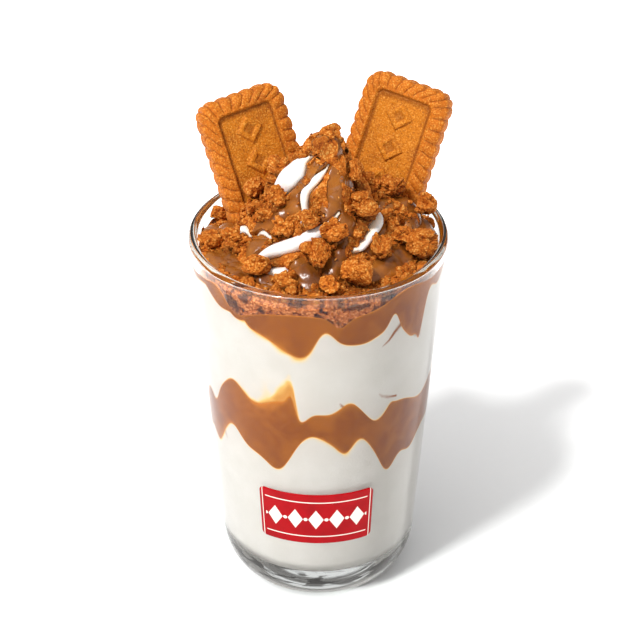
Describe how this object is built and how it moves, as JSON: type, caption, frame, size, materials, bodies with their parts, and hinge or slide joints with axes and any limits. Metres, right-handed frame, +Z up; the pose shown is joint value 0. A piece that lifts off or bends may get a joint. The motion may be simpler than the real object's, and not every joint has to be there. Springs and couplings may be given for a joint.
{
  "type": "blended ice cream dessert",
  "caption": "Blended ice cream dessert in a clear conical glass, layered with caramel sauce and crumbs, topped with a sauced swirl, crumb chunks and two caramelised biscuits.",
  "frame": {"origin": "centre of the glass's flat foot, on the surface it stands on", "axes": "+Z up along the glass's axis, -Y towards the front that the printed panel faces, +X to the right"},
  "size_m": [0.0902, 0.088, 0.1801],
  "materials": {
    "clear_glass": "clear polished soda-lime glass",
    "printed_panel": null,
    "ice_cream": "soft matte-to-satin ice cream",
    "caramel_sauce": "glossy thick milk caramel sauce",
    "biscuit_crumb": "rough toasted crumb",
    "biscuit": "dry baked biscuit with fine grain"
  },
  "bodies": {
    "root": {"glass": "clear_glass", "label": "printed_panel", "lower_ice_cream": "ice_cream", "middle_sauce": "caramel_sauce", "upper_ice_cream": "ice_cream", "top_sauce": "caramel_sauce", "crumb_layer": "biscuit_crumb", "swirl": "ice_cream", "biscuit_left": "biscuit", "biscuit_right": "biscuit", "chunk_00": "biscuit_crumb", "chunk_01": "biscuit_crumb", "chunk_02": "biscuit_crumb", "chunk_03": "biscuit_crumb", "chunk_04": "biscuit_crumb", "chunk_05": "biscuit_crumb", "chunk_06": "biscuit_crumb", "chunk_07": "biscuit_crumb", "chunk_08": "biscuit_crumb", "chunk_09": "biscuit_crumb", "chunk_10": "biscuit_crumb", "chunk_11": "biscuit_crumb", "chunk_12": "biscuit_crumb", "chunk_13": "biscuit_crumb", "chunk_14": "biscuit_crumb", "chunk_15": "biscuit_crumb", "chunk_16": "biscuit_crumb", "chunk_17": "biscuit_crumb", "chunk_18": "biscuit_crumb", "chunk_19": "biscuit_crumb", "chunk_20": "biscuit_crumb", "chunk_21": "biscuit_crumb", "chunk_22": "biscuit_crumb", "chunk_23": "biscuit_crumb", "chunk_24": "biscuit_crumb", "chunk_25": "biscuit_crumb", "chunk_26": "biscuit_crumb"}
  },
  "joints": []
}
